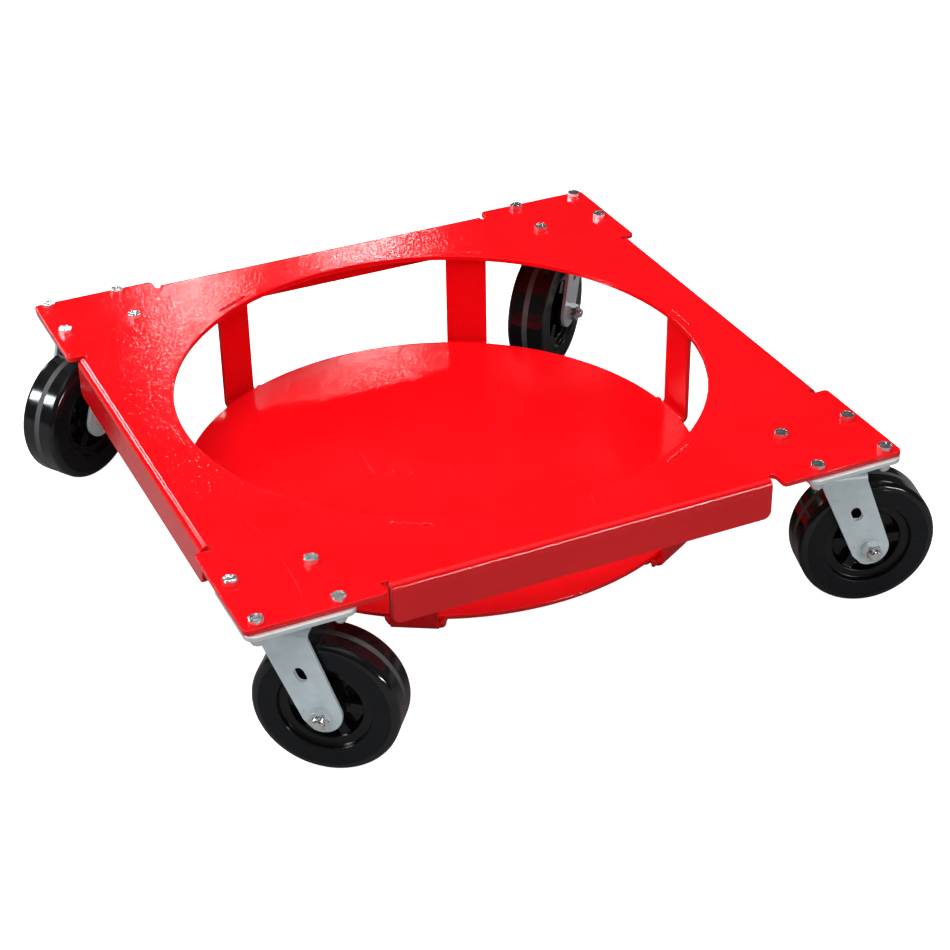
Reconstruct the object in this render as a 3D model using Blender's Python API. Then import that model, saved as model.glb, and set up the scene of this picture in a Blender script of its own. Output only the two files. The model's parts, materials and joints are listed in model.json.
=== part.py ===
"""Drum dolly: a bent steel deck with a round well, a pan hung below the well on six
straps, and four swivel casters bolted under the deck's corner pads.

Metres, +Z up.  The origin is the middle of the pan's top face, where the drum stands.
The front is -Y, and +X is to the right.  A caster's own x axis points from its swivel
axis towards its axle, and its own y axis runs along the axle.
"""
import math

import bmesh
import bpy
from mathutils import Matrix, Vector

MM = 0.001
GAP = 0.3 * MM                       # left between pieces that touch

# Deck: one sheet, bent down along the middle of each side
DECK_SIDE = 740 * MM
DECK_THICKNESS = 6 * MM
DECK_ABOVE_PAN = 121 * MM            # from the pan's top face to the deck's top face
DECK_CORNER_RADIUS = 6 * MM
PAD_LENGTH = 147 * MM                # corner pad, along the side, up to the relief
PAD_END_RADIUS = 5 * MM
RELIEF_WIDTH = 7.6 * MM              # slot between a pad and a flange
FLANGE_HEIGHT = 46.3 * MM            # from the deck's top face to the flange's lower edge
FLANGE_SETBACK = 9 * MM              # flange face inside the pads' edge
FLANGE_CORNER_RADIUS = 9 * MM
BEND_RADIUS = 2 * MM                 # inside the bend
WELL_RADIUS = 300.5 * MM

# Pan and the straps that carry it
PAN_CLEARANCE = 0.5 * MM             # the pan passes through the well by this much
PAN_THICKNESS = 5 * MM
STRAP_COUNT = 6
STRAP_WIDTH = 50.8 * MM
STRAP_THICKNESS = 5 * MM
STRAP_STANDOFF = 7 * MM              # strap's inner face outside the pan's edge
STRAP_BEND_RADIUS = 6.3 * MM         # inside the bend at the foot
STRAP_FOOT_LEAN = 3.5                # degrees past square, so that the foot's tip bears on the pan
STRAP_FOOT = 42 * MM                 # foot's reach under the pan, from the pan's edge

# Caster mounting plate
PLATE_LENGTH = 114.3 * MM            # along x
PLATE_WIDTH = 101.6 * MM             # along y
PLATE_THICKNESS = 6 * MM
PLATE_CORNER_RADIUS = 11 * MM
PLATE_INSET_X = 58 * MM              # swivel axis from the deck's edge
PLATE_INSET_Y = 46.5 * MM
BOLT_SPACING_X = 84.2 * MM
BOLT_SPACING_Y = 71.8 * MM
SLOT_TRAVEL = 9.2 * MM               # oblong bolt hole, between its end centres
RACE_BOSS_RADIUS = 40 * MM
RACE_BOSS_HEIGHT = 4 * MM

# Mounting bolts, 3/8 in
BOLT_RADIUS = 4.76 * MM
BOLT_HOLE_CLEARANCE = 0.6 * MM
BOLT_HEAD_FLATS = 14.3 * MM
BOLT_HEAD_HEIGHT = 5.4 * MM
BOLT_NUT_HEIGHT = 11.5 * MM
BOLT_TAIL = 1 * MM

# Swivel: ball race and riveted kingpin
RACE_RADIUS = 38 * MM
RACE_BORE_RADIUS = 24 * MM
RACE_HEIGHT = 4.8 * MM
KINGPIN_RADIUS = 8 * MM
KINGPIN_HEAD_RADIUS = 14 * MM
KINGPIN_HEAD_HEIGHT = 3.5 * MM
KINGPIN_TAIL_HEIGHT = 6 * MM
PIN_CLEARANCE = 0.4 * MM

# Fork, a bent sheet with two raked legs
CASTER_HEIGHT = 188 * MM             # mounting face to floor
CASTER_TRAIL = 41 * MM               # axle behind the swivel axis
FORK_THICKNESS = 5 * MM
FORK_INNER_WIDTH = 58 * MM
FORK_BEND_RADIUS = 3 * MM
CROWN_FRONT = 21 * MM                # crown's reach away from the axle
CROWN_BACK = 31 * MM                 # crown's reach towards the axle
LEG_END_RADIUS = 21 * MM
LEG_SLOT_LENGTH = 19 * MM
LEG_SLOT_WIDTH = 12.5 * MM
LEG_SLOT_SHARE = 0.48                # slot's place between crown and axle

# Wheel and axle
WHEEL_RADIUS = 76.2 * MM
WHEEL_WIDTH = 50.8 * MM
WHEEL_SHOULDER = 7.5 * MM
WHEEL_RECESS_RADIUS = 49.5 * MM
WHEEL_RING_RADIUS = 39 * MM
WHEEL_RING_DEPTH = 6 * MM
WHEEL_WEB = 16 * MM
HUB_RADIUS = 20 * MM
HUB_LENGTH = 54 * MM
AXLE_RADIUS = 6.35 * MM
SLEEVE_WALL = 3 * MM
BEARING_WALL = 4.6 * MM
AXLE_HEAD_FLATS = 19.05 * MM
AXLE_HEAD_HEIGHT = 8 * MM
AXLE_NUT_HEIGHT = 11 * MM
AXLE_TAIL = 6 * MM                   # thread showing past the nut
THREAD_CLEARANCE = 0.2 * MM

# Name, corner as signs of x and y, swivel heading in degrees, axle nut on -y or +y
CASTERS = (
    ("front_left", -1, -1, -38, -1),
    ("front_right", 1, -1, -16, -1),
    ("rear_right", 1, 1, 222, 1),
    ("rear_left", -1, 1, 213, -1),
)

# Heights that follow from the sizes above
DECK_TOP = DECK_ABOVE_PAN
PLATE_TOP = DECK_TOP - DECK_THICKNESS - GAP
PLATE_BOTTOM = PLATE_TOP - PLATE_THICKNESS
RACE_TOP = PLATE_BOTTOM - RACE_BOSS_HEIGHT - GAP
CROWN_TOP = RACE_TOP - RACE_HEIGHT - GAP
CROWN_BOTTOM = CROWN_TOP - FORK_THICKNESS
AXLE_DROP = CASTER_HEIGHT - WHEEL_RADIUS      # mounting face to axle
AXLE_HEIGHT = PLATE_TOP - AXLE_DROP

DECK_HALF = DECK_SIDE / 2
PAN_RADIUS = WELL_RADIUS - PAN_CLEARANCE
STRAP_INNER = PAN_RADIUS + STRAP_STANDOFF
STRAP_OUTER = STRAP_INNER + STRAP_THICKNESS
FORK_HALF = FORK_INNER_WIDTH / 2 + FORK_THICKNESS
SLEEVE_BORE = AXLE_RADIUS + GAP
SLEEVE_RADIUS = SLEEVE_BORE + SLEEVE_WALL
BEARING_BORE = SLEEVE_RADIUS + GAP
BEARING_RADIUS = BEARING_BORE + BEARING_WALL
WHEEL_BORE = BEARING_RADIUS + GAP


# Outlines, as lists of (x, y) points

def arc(centre, radius, start, end, steps):
    """Points on an arc from start to end, in degrees."""
    angles = [math.radians(start + (end - start) * i / steps) for i in range(steps + 1)]
    return [(centre[0] + radius * math.cos(a), centre[1] + radius * math.sin(a)) for a in angles]


def circle(centre, radius, steps):
    return arc(centre, radius, 0, 360, steps)[:-1]


def rectangle(x0, x1, y0, y1):
    return [(x0, y0), (x1, y0), (x1, y1), (x0, y1)]


def rounded_rectangle(length, width, radius, steps):
    points = []
    for i, (sx, sy) in enumerate(((1, 1), (-1, 1), (-1, -1), (1, -1))):
        centre = (sx * (length / 2 - radius), sy * (width / 2 - radius))
        points += arc(centre, radius, 90 * i, 90 * i + 90, steps)
    return points


def oblong(centre, travel, radius, heading, steps):
    """A slot with round ends, travel long between its end centres."""
    points = []
    for side in (1, -1):
        reach = side * travel / 2
        end = (centre[0] + reach * math.cos(math.radians(heading)),
               centre[1] + reach * math.sin(math.radians(heading)))
        start = heading - 90 + (0 if side > 0 else 180)
        points += arc(end, radius, start, start + 180, steps)
    return points


def turned(points, degrees):
    c, s = math.cos(math.radians(degrees)), math.sin(math.radians(degrees))
    return [(c * x - s * y, s * x + c * y) for x, y in points]


# Solids

def finish_mesh(bm, name):
    bmesh.ops.remove_doubles(bm, verts=bm.verts, dist=0.001 * MM)
    bmesh.ops.recalc_face_normals(bm, faces=bm.faces)
    mesh = bpy.data.meshes.new(name)
    bm.to_mesh(mesh)
    bm.free()
    return mesh


def finish_sheet(bm, name):
    """An open surface whose flat top faces up, for a sheet's thickness to be added to."""
    bmesh.ops.remove_doubles(bm, verts=bm.verts, dist=0.001 * MM)
    bmesh.ops.recalc_face_normals(bm, faces=bm.faces)
    bm.normal_update()
    if sum(f.normal.z * f.calc_area() for f in bm.faces) < 0:
        bmesh.ops.reverse_faces(bm, faces=bm.faces)
    mesh = bpy.data.meshes.new(name)
    bm.to_mesh(mesh)
    bm.free()
    return mesh


def add_wall(bm, loop, low, high):
    """A wall that stands on a closed outline, from low to high."""
    rows = [[bm.verts.new((x, y, z)) for x, y in loop] for z in (low, high)]
    for i in range(len(loop)):
        j = (i + 1) % len(loop)
        bm.faces.new((rows[0][i], rows[0][j], rows[1][j], rows[1][i]))


def add_flat(bm, loops, z, axis=2):
    """A flat face inside the first outline and outside the others, at z along an axis."""
    edges = []
    for loop in loops:
        verts = []
        for x, y in loop:
            verts.append(bm.verts.new((x, y, z) if axis == 2 else (x, z, y)))
        edges += [bm.edges.new((verts[i - 1], verts[i])) for i in range(len(verts))]
    return bmesh.ops.triangle_fill(bm, use_beauty=True, use_dissolve=False, edges=edges)


def plate_solid(name, outline, holes, low, high):
    """A flat plate with straight sides and holes."""
    bm = bmesh.new()
    for z in (low, high):
        add_flat(bm, [outline] + holes, z)
    for loop in [outline] + holes:
        add_wall(bm, loop, low, high)
    return finish_mesh(bm, name)


def ring_of(kind, size, steps):
    """Points of one cross-section: a circle of a radius, or a hexagon across flats."""
    if kind == "round":
        return circle((0, 0), size, steps)
    corners = [Vector(p) for p in circle((0, 0), size / math.sqrt(3), 6)]
    per_side = steps // 6
    points = []
    for i in range(6):
        for k in range(per_side):
            points.append(tuple(corners[i].lerp(corners[(i + 1) % 6], k / per_side)))
    return points


def stack_solid(name, sections, steps):
    """A solid through cross-sections (kind, size, z), closed at both ends."""
    bm = bmesh.new()
    rows = []
    for kind, size, z in sections:
        rows.append([bm.verts.new((x, y, z)) for x, y in ring_of(kind, size, steps)])
    for low, high in zip(rows, rows[1:]):
        for i in range(steps):
            j = (i + 1) % steps
            bm.faces.new((low[i], low[j], high[j], high[i]))
    bm.faces.new(rows[0])
    bm.faces.new(rows[-1])
    return finish_mesh(bm, name)


def turned_solid(name, profile, steps):
    """A ring turned about z from a closed profile of (kind, size, z)."""
    bm = bmesh.new()
    rows = []
    for kind, size, z in profile:
        rows.append([bm.verts.new((x, y, z)) for x, y in ring_of(kind, size, steps)])
    for k, low in enumerate(rows):
        high = rows[(k + 1) % len(rows)]
        for i in range(steps):
            j = (i + 1) % steps
            bm.faces.new((low[i], low[j], high[j], high[i]))
    return finish_mesh(bm, name)


def ring_solid(name, bore, radius, length, steps):
    """A plain ring, length long and centred on its middle."""
    half = length / 2
    profile = [("round", bore, -half), ("round", radius, -half),
               ("round", radius, half), ("round", bore, half)]
    return turned_solid(name, profile, steps)


# Materials and objects

def make_material(name, colour, roughness, metallic):
    material = bpy.data.materials.new(name)
    material.use_nodes = True
    shader = material.node_tree.nodes["Principled BSDF"]
    shader.inputs["Base Color"].default_value = (*colour, 1)
    shader.inputs["Roughness"].default_value = roughness
    shader.inputs["Metallic"].default_value = metallic
    material.diffuse_color = (*colour, 1)
    return material


def place(name, mesh, material, parent=None, at=(0, 0, 0), turn=(0, 0, 0)):
    """Put a mesh in the scene as one named object."""
    thing = bpy.data.objects.new(name, mesh)
    if not mesh.materials:
        mesh.materials.append(material)
    mesh.shade_smooth()
    mesh.set_sharp_from_angle(angle=math.radians(32))
    bpy.context.collection.objects.link(thing)
    thing.parent = parent
    thing.location = at
    thing.rotation_euler = turn
    return thing


def place_axis(name, at, heading, parent=None):
    """An empty that marks a joint's axis."""
    axis = bpy.data.objects.new(name, None)
    bpy.context.collection.objects.link(axis)
    axis.parent = parent
    axis.location = at
    axis.rotation_euler = (0, 0, math.radians(heading))
    return axis


def add_solidify(thing, thickness):
    sheet = thing.modifiers.new("sheet", "SOLIDIFY")
    sheet.thickness = thickness
    sheet.offset = -1
    sheet.use_even_offset = True
    sheet.use_quality_normals = True


# Deck

def caster_centre(sx, sy):
    return sx * (DECK_HALF - PLATE_INSET_X), sy * (DECK_HALF - PLATE_INSET_Y)


def bolt_places():
    """Bolt centres about a swivel axis, with the heading of each oblong hole."""
    places = []
    for sx in (-1, 1):
        for sy in (-1, 1):
            lean = math.degrees(math.atan2(BOLT_SPACING_Y / 2 - 0.46 * PLATE_WIDTH,
                                           0.47 * PLATE_LENGTH - BOLT_SPACING_X / 2))
            places.append((sx * BOLT_SPACING_X / 2, sy * BOLT_SPACING_Y / 2, sx * sy * lean))
    return places


def strap_slot(index):
    """The slot that a strap's top passes through, about the middle of the deck."""
    half = STRAP_WIDTH / 2 + GAP
    slot = rectangle(STRAP_INNER - GAP, STRAP_OUTER + GAP, -half, half)
    return turned(slot, 360 / STRAP_COUNT * index)


def deck_side_outline():
    """One side of the deck's flat part, from its left corner to just before the next."""
    h = DECK_HALF
    bend_line = -h + FLANGE_SETBACK + BEND_RADIUS + DECK_THICKNESS
    r = DECK_CORNER_RADIUS
    pad_end = -h + PAD_LENGTH
    slot = RELIEF_WIDTH / 2
    left = arc((-h + r, -h + r), r, 180, 270, 4)
    left += arc((pad_end - PAD_END_RADIUS, -h + PAD_END_RADIUS), PAD_END_RADIUS, -90, 0, 4)
    left += arc((pad_end + slot, bend_line), slot, 180, 0, 6)
    corner_steps = 5
    right = [(-x, y) for x, y in reversed(left[corner_steps:])]
    return left + right, len(left) - 1


def add_flange(bm, start, end, turn):
    """The bent strip below one side, hung from the bend line from start to end."""
    outer = BEND_RADIUS + DECK_THICKNESS
    steps = 5
    rows = []
    for i in range(steps + 1):
        a = math.pi / 2 * i / steps
        y, z = start[1] - outer * math.sin(a), DECK_TOP - outer * (1 - math.cos(a))
        rows.append([bm.verts.new(turn @ Vector((x, y, z))) for x in (start[0], end[0])])
    for low, high in zip(rows, rows[1:]):
        bm.faces.new((low[0], high[0], high[1], low[1]))
    r = FLANGE_CORNER_RADIUS
    face_y, foot = start[1] - outer, DECK_TOP - FLANGE_HEIGHT
    edge = arc((start[0] + r, foot + r), r, 180, 270, 4)
    edge += arc((end[0] - r, foot + r), r, 270, 360, 4)
    verts = [bm.verts.new(turn @ Vector((x, face_y, z))) for x, z in edge]
    bm.faces.new([rows[-1][0]] + verts + [rows[-1][1]])


def build_deck(material):
    side, bend_start = deck_side_outline()
    outline = []
    for k in range(4):
        outline += turned(side, 90 * k)
    holes = [circle((0, 0), WELL_RADIUS, 72)]
    holes += [strap_slot(i) for i in range(STRAP_COUNT)]
    for _, sx, sy, _, _ in CASTERS:
        cx, cy = caster_centre(sx, sy)
        for bx, by, _ in bolt_places():
            holes.append(circle((cx + bx, cy + by), BOLT_RADIUS + BOLT_HOLE_CLEARANCE, 12))
    bm = bmesh.new()
    add_flat(bm, [outline] + holes, DECK_TOP)
    for k in range(4):
        add_flange(bm, side[bend_start], side[bend_start + 1], Matrix.Rotation(math.pi / 2 * k, 3, "Z"))
    add_solidify(place("deck", finish_sheet(bm, "deck"), material), DECK_THICKNESS)


# Pan and straps

def build_pan(material):
    mesh = plate_solid("drum_pan", circle((0, 0), PAN_RADIUS, 72), [], -PAN_THICKNESS, 0)
    place("drum_pan", mesh, material)


def strap_profile():
    """A strap seen along its width, as (distance from the dolly's middle, height)."""
    top = DECK_TOP - GAP
    end = -90 - STRAP_FOOT_LEAN
    lean = math.radians(STRAP_FOOT_LEAN)
    tip = (PAN_RADIUS - STRAP_FOOT, -PAN_THICKNESS - GAP)
    centre_x = STRAP_INNER - STRAP_BEND_RADIUS
    foot_start = centre_x - STRAP_BEND_RADIUS * math.sin(lean)
    foot_low = tip[1] - (foot_start - tip[0]) * math.tan(lean)
    centre = (centre_x, foot_low + STRAP_BEND_RADIUS * math.cos(lean))
    inner = arc(centre, STRAP_BEND_RADIUS, 0, end, 4)
    outer = arc(centre, STRAP_BEND_RADIUS + STRAP_THICKNESS, end, 0, 6)
    tip_low = (tip[0] - STRAP_THICKNESS * math.sin(lean), tip[1] - STRAP_THICKNESS * math.cos(lean))
    return [(STRAP_INNER, top)] + inner + [tip, tip_low] + outer + [(STRAP_OUTER, top)]


def build_straps(material):
    mesh = plate_solid("strap", strap_profile(), [], -STRAP_WIDTH / 2, STRAP_WIDTH / 2)
    mesh.transform(Matrix.Rotation(math.pi / 2, 4, "X"))
    for i in range(STRAP_COUNT):
        angle = 2 * math.pi / STRAP_COUNT * i
        place(f"strap_{i + 1}", mesh, material, turn=(0, 0, angle))


# Casters

def mounting_plate_mesh():
    """The plate with its oblong holes, race boss, and counterbore for the kingpin's head."""
    outline = rounded_rectangle(PLATE_LENGTH, PLATE_WIDTH, PLATE_CORNER_RADIUS, 4)
    hole_radius = BOLT_RADIUS + BOLT_HOLE_CLEARANCE
    slots = [oblong((x, y), SLOT_TRAVEL, hole_radius, heading, 5) for x, y, heading in bolt_places()]
    boss = circle((0, 0), RACE_BOSS_RADIUS, 28)
    counterbore = circle((0, 0), KINGPIN_HEAD_RADIUS + PIN_CLEARANCE, 16)
    bore = circle((0, 0), KINGPIN_RADIUS + PIN_CLEARANCE, 16)
    shelf = PLATE_TOP - KINGPIN_HEAD_HEIGHT - 2 * GAP
    boss_bottom = PLATE_BOTTOM - RACE_BOSS_HEIGHT
    bm = bmesh.new()
    add_flat(bm, [outline, counterbore] + slots, PLATE_TOP)
    add_flat(bm, [outline, boss] + slots, PLATE_BOTTOM)
    add_flat(bm, [counterbore, bore], shelf)
    add_flat(bm, [boss, bore], boss_bottom)
    for loop in [outline] + slots:
        add_wall(bm, loop, PLATE_BOTTOM, PLATE_TOP)
    add_wall(bm, counterbore, shelf, PLATE_TOP)
    add_wall(bm, bore, boss_bottom, shelf)
    add_wall(bm, boss, boss_bottom, PLATE_BOTTOM)
    return finish_mesh(bm, "caster_plate")


def ball_race_mesh():
    """A ring with a bowed outer edge, where the balls run between plate and fork."""
    low, high = RACE_TOP - RACE_HEIGHT, RACE_TOP
    edge = RACE_RADIUS - RACE_HEIGHT / 4
    profile = [("round", RACE_BORE_RADIUS, low), ("round", edge, low),
               ("round", RACE_RADIUS, (low + high) / 2),
               ("round", edge, high), ("round", RACE_BORE_RADIUS, high)]
    return turned_solid("ball_race", profile, 28)


def kingpin_mesh():
    head_top = PLATE_TOP - GAP
    head_low = head_top - KINGPIN_HEAD_HEIGHT
    tail_top = CROWN_BOTTOM - GAP
    tail_low = tail_top - KINGPIN_TAIL_HEIGHT
    tail = KINGPIN_HEAD_RADIUS
    sections = [("round", tail * 0.6, tail_low), ("round", tail * 0.9, tail_low + KINGPIN_TAIL_HEIGHT / 3),
                ("round", tail, tail_top), ("round", KINGPIN_RADIUS, tail_top),
                ("round", KINGPIN_RADIUS, head_low), ("round", KINGPIN_HEAD_RADIUS, head_low),
                ("round", KINGPIN_HEAD_RADIUS, head_top)]
    return stack_solid("kingpin", sections, 12)


def tangent_point(point, centre, radius, side):
    """Where a line from a point touches a circle, on one side of it."""
    away = Vector(point) - Vector(centre)
    lean = math.acos(radius / away.length)
    a = math.atan2(away.y, away.x) + side * lean
    return centre[0] + radius * math.cos(a), centre[1] + radius * math.sin(a)


def leg_outline(top):
    """A fork leg from its side: raked, round about the axle, its front lower edge cut off."""
    axle = (CASTER_TRAIL, AXLE_HEIGHT)
    back = (CROWN_BACK, top)
    front = (-CROWN_FRONT, top)
    touch = tangent_point(back, axle, LEG_END_RADIUS, -1)
    start = math.degrees(math.atan2(touch[1] - axle[1], touch[0] - axle[0]))
    front_end = tangent_point(front, axle, LEG_END_RADIUS, 1)
    lean = math.degrees(math.atan2(front_end[1] - front[1], front_end[0] - front[0]))
    end = lean - 50
    return [front, back] + arc(axle, LEG_END_RADIUS, start, end, 9) + [front_end], lean


def fork_mesh():
    """The fork's outer surface, which the sheet's thickness is added to from inside."""
    outer = FORK_BEND_RADIUS + FORK_THICKNESS
    leg_top = CROWN_TOP - outer
    leg, lean = leg_outline(leg_top)
    axle = (CASTER_TRAIL, AXLE_HEIGHT)
    slot_centre = (LEG_SLOT_SHARE * (CASTER_TRAIL + (CROWN_BACK - CROWN_FRONT) / 2),
                   leg_top + LEG_SLOT_SHARE * (AXLE_HEIGHT - leg_top))
    slot = oblong(slot_centre, LEG_SLOT_LENGTH - LEG_SLOT_WIDTH, LEG_SLOT_WIDTH / 2, lean, 5)
    axle_hole = circle(axle, AXLE_RADIUS + PIN_CLEARANCE, 12)
    crown = rectangle(-CROWN_FRONT, CROWN_BACK, -FORK_HALF + outer, FORK_HALF - outer)
    pin_hole = circle((0, 0), KINGPIN_RADIUS + PIN_CLEARANCE, 16)
    bm = bmesh.new()
    add_flat(bm, [crown, pin_hole], CROWN_TOP)
    steps = 4
    for side in (-1, 1):
        add_flat(bm, [leg, slot, axle_hole], side * FORK_HALF, axis=1)
        rows = []
        for i in range(steps + 1):
            a = math.pi / 2 * i / steps
            y = side * (FORK_HALF - outer + outer * math.sin(a))
            z = CROWN_TOP - outer * (1 - math.cos(a))
            rows.append([bm.verts.new((x, y, z)) for x in (-CROWN_FRONT, CROWN_BACK)])
        for low, high in zip(rows, rows[1:]):
            bm.faces.new((low[0], high[0], high[1], low[1]))
    return finish_sheet(bm, "fork")


def wheel_mesh():
    """The wheel turned about z: tread, shoulders, recessed sides, web and hub."""
    half, hub, web = WHEEL_WIDTH / 2, HUB_LENGTH / 2, WHEEL_WEB / 2
    ring = half - WHEEL_RING_DEPTH
    shoulder = arc((half - WHEEL_SHOULDER, WHEEL_RADIUS - WHEEL_SHOULDER), WHEEL_SHOULDER, 0, 90, 4)
    side = [(hub, WHEEL_BORE), (hub, HUB_RADIUS - 1.5 * MM), (web, HUB_RADIUS + 1.5 * MM),
            (web, WHEEL_RING_RADIUS - 2 * MM), (ring, WHEEL_RING_RADIUS),
            (ring, WHEEL_RECESS_RADIUS - 2 * MM), (half, WHEEL_RECESS_RADIUS)] + shoulder
    profile = side + [(-x, r) for x, r in reversed(side)]
    return turned_solid("wheel", [("round", r, x) for x, r in profile], 40)


def mounting_bolt_mesh():
    """A hexagon bolt through deck and plate, with its nut."""
    head_low = DECK_TOP + GAP
    nut_top = PLATE_BOTTOM - GAP
    nut_low = nut_top - BOLT_NUT_HEIGHT
    sections = [("round", BOLT_RADIUS, nut_low - BOLT_TAIL), ("round", BOLT_RADIUS, nut_low),
                ("hexagon", BOLT_HEAD_FLATS, nut_low), ("hexagon", BOLT_HEAD_FLATS, nut_top),
                ("round", BOLT_RADIUS, nut_top), ("round", BOLT_RADIUS, head_low),
                ("hexagon", BOLT_HEAD_FLATS, head_low),
                ("hexagon", BOLT_HEAD_FLATS, head_low + BOLT_HEAD_HEIGHT)]
    return stack_solid("mounting_bolt", sections, 12)


def axle_bolt_mesh():
    """The axle bolt along z, its head at +z and its threaded end at -z."""
    head_low = FORK_HALF + GAP
    end = FORK_HALF + GAP + AXLE_NUT_HEIGHT + AXLE_TAIL
    sections = [("round", AXLE_RADIUS, -end), ("round", AXLE_RADIUS, head_low),
                ("hexagon", AXLE_HEAD_FLATS, head_low),
                ("hexagon", AXLE_HEAD_FLATS, head_low + AXLE_HEAD_HEIGHT)]
    return stack_solid("axle_bolt", sections, 12)


def axle_nut_mesh():
    high = -FORK_HALF - GAP
    low = high - AXLE_NUT_HEIGHT
    bore = AXLE_RADIUS + THREAD_CLEARANCE
    profile = [("round", bore, low), ("hexagon", AXLE_HEAD_FLATS, low),
               ("hexagon", AXLE_HEAD_FLATS, high), ("round", bore, high)]
    return turned_solid("axle_nut", profile, 12)


def build_casters(zinc, phenolic, steel, brass):
    plate, race, kingpin, fork = mounting_plate_mesh(), ball_race_mesh(), kingpin_mesh(), fork_mesh()
    wheel, bolt, axle_bolt, axle_nut = wheel_mesh(), mounting_bolt_mesh(), axle_bolt_mesh(), axle_nut_mesh()
    bearing = ring_solid("roller_bearing", BEARING_BORE, BEARING_RADIUS, HUB_LENGTH - 4 * MM, 20)
    sleeve = ring_solid("axle_sleeve", SLEEVE_BORE, SLEEVE_RADIUS, FORK_INNER_WIDTH - 2 * GAP, 20)
    for corner, sx, sy, heading, nut_side in CASTERS:
        cx, cy = caster_centre(sx, sy)
        place(f"caster_plate_{corner}", plate, zinc, at=(cx, cy, 0))
        place(f"ball_race_{corner}", race, steel, at=(cx, cy, 0))
        place(f"kingpin_{corner}", kingpin, steel, at=(cx, cy, 0))
        for i, (bx, by, _) in enumerate(bolt_places()):
            place(f"mounting_bolt_{corner}_{i + 1}", bolt, zinc, at=(cx + bx, cy + by, 0))
        swivel = place_axis(f"swivel_axis_{corner}", (cx, cy, 0), heading)
        add_solidify(place(f"fork_{corner}", fork, zinc, swivel), FORK_THICKNESS)
        axle = place_axis(f"axle_axis_{corner}", (CASTER_TRAIL, 0, AXLE_HEIGHT), 0, swivel)
        along = (math.pi / 2 * nut_side, 0, 0)
        place(f"wheel_{corner}", wheel, phenolic, axle, turn=along)
        place(f"roller_bearing_{corner}", bearing, brass, axle, turn=along)
        place(f"axle_sleeve_{corner}", sleeve, steel, axle, turn=along)
        place(f"axle_bolt_{corner}", axle_bolt, zinc, axle, turn=along)
        place(f"axle_nut_{corner}", axle_nut, zinc, axle, turn=along)


def main():
    for thing in list(bpy.data.objects):
        bpy.data.objects.remove(thing, do_unlink=True)
    red = make_material("red_powder_coat", (0.85, 0.012, 0.012), 0.3, 0)
    zinc = make_material("zinc_plate", (0.62, 0.66, 0.7), 0.32, 1)
    steel = make_material("bright_steel", (0.5, 0.5, 0.5), 0.4, 1)
    phenolic = make_material("black_phenolic", (0.012, 0.012, 0.013), 0.3, 0)
    brass = make_material("bearing_cage", (0.45, 0.38, 0.25), 0.45, 1)
    build_deck(red)
    build_pan(red)
    build_straps(red)
    build_casters(zinc, phenolic, steel, brass)


main()
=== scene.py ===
"""Looks for the drum dolly: a red square deck with a round well, a hung pan and four swivel casters."""

import json
import math
import random

import bmesh
import bpy
from mathutils import Matrix, Vector, noise


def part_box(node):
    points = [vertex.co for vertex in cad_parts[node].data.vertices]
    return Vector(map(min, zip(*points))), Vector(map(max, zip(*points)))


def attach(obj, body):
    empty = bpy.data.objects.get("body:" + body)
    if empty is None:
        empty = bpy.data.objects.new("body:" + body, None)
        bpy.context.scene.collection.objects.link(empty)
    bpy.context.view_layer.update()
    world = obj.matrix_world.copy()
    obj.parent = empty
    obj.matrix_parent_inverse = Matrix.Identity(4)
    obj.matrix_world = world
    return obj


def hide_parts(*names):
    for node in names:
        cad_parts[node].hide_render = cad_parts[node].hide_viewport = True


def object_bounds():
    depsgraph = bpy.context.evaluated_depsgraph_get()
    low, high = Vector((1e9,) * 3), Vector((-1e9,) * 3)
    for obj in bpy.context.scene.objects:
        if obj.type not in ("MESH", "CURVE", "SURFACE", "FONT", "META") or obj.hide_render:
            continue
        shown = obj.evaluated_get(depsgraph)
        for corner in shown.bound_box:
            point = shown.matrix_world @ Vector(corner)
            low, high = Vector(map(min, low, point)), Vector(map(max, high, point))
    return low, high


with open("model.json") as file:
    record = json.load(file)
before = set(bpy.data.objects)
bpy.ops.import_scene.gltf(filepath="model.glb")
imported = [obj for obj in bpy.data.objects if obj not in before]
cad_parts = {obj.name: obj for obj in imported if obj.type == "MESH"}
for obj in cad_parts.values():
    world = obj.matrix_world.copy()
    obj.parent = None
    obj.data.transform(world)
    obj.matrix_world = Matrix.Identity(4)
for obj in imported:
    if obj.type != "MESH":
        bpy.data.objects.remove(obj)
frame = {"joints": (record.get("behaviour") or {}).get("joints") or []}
CAD_LOW, CAD_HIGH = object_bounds()
MM = 0.001

# Deck: one sheet with a rounded edge, cut out flat and then folded down along each side
DECK_THICKNESS = 6 * MM
DECK_EDGE = 0.9 * MM                  # rounding of every cut edge
DECK_CORNER_RADIUS = 6 * MM
PAD_LENGTH = 147 * MM
PAD_END_RADIUS = 5 * MM
RELIEF_WIDTH = 7.6 * MM
FLANGE_SETBACK = 9 * MM
FLANGE_CORNER_RADIUS = 9 * MM
BEND_RADIUS = 2 * MM                  # inside the bend
WELL_RADIUS = 300.5 * MM
HOLE_RADIUS = 5.4 * MM                # bolt holes

# Pan and straps
PAN_EDGE = 1.2 * MM
STRAP_COUNT = 6
STRAP_THICKNESS = 5 * MM
STRAP_EDGE = 0.8 * MM
STRAP_BEND_RADIUS = 6.3 * MM
STRAP_FOOT_LEAN = math.radians(3.5)    # past square, so that the foot's tip bears on the pan
FOOT_WELD = 7 * MM                    # leg of the fillets beside the foot
BEAD_WIDTH = 4.4 * MM                 # weld beads
BEAD_HEIGHT = 1.9 * MM
BEAD_SHARE = 0.94                     # of the strap's width that the top bead covers

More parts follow.
